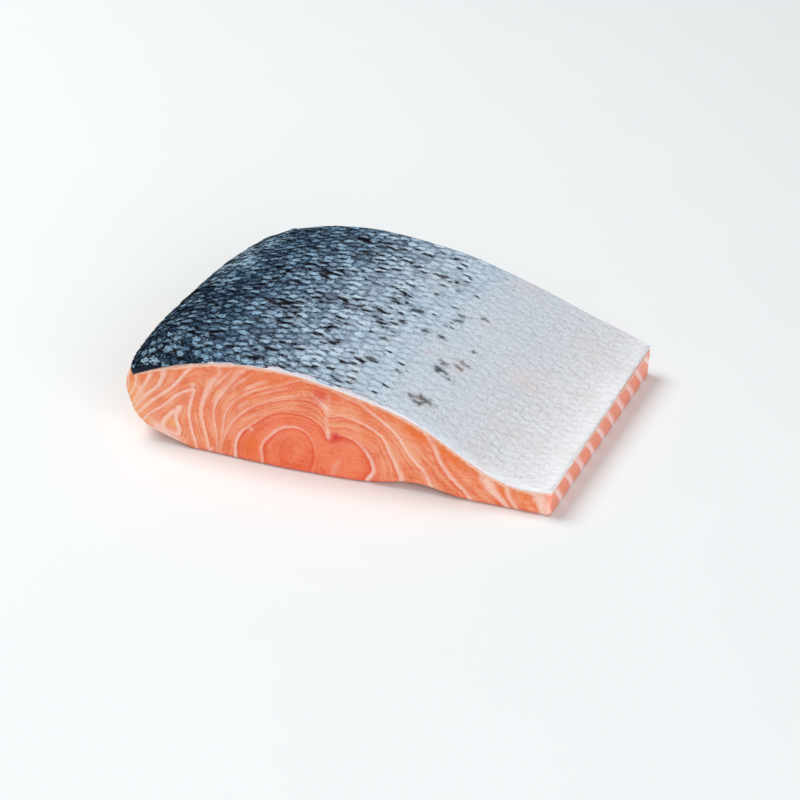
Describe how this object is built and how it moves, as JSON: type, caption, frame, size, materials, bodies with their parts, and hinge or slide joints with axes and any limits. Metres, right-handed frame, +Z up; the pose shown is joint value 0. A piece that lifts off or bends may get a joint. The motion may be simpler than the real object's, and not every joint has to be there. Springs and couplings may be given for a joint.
{
  "type": "raw salmon fillet",
  "caption": "Raw salmon fillet portion lying skin up, with soft orange flesh and pale fat lines at its cuts under a thin scaly skin, dark on the back and silver at the belly.",
  "frame": {"origin": "middle of the portion's outline, on the surface it lies on", "axes": "+X across the fish towards the belly, +Y along the fish towards the head cut, +Z up through the skin"},
  "size_m": [0.1538, 0.1118, 0.0392],
  "materials": {
    "flesh": "wet, softly glossy raw muscle with pale fat lines",
    "skin": "wet silvery scales, blue-black on the back and grey-white at the belly"
  },
  "bodies": {
    "root": {"flesh": "flesh", "skin": "skin"}
  },
  "joints": []
}
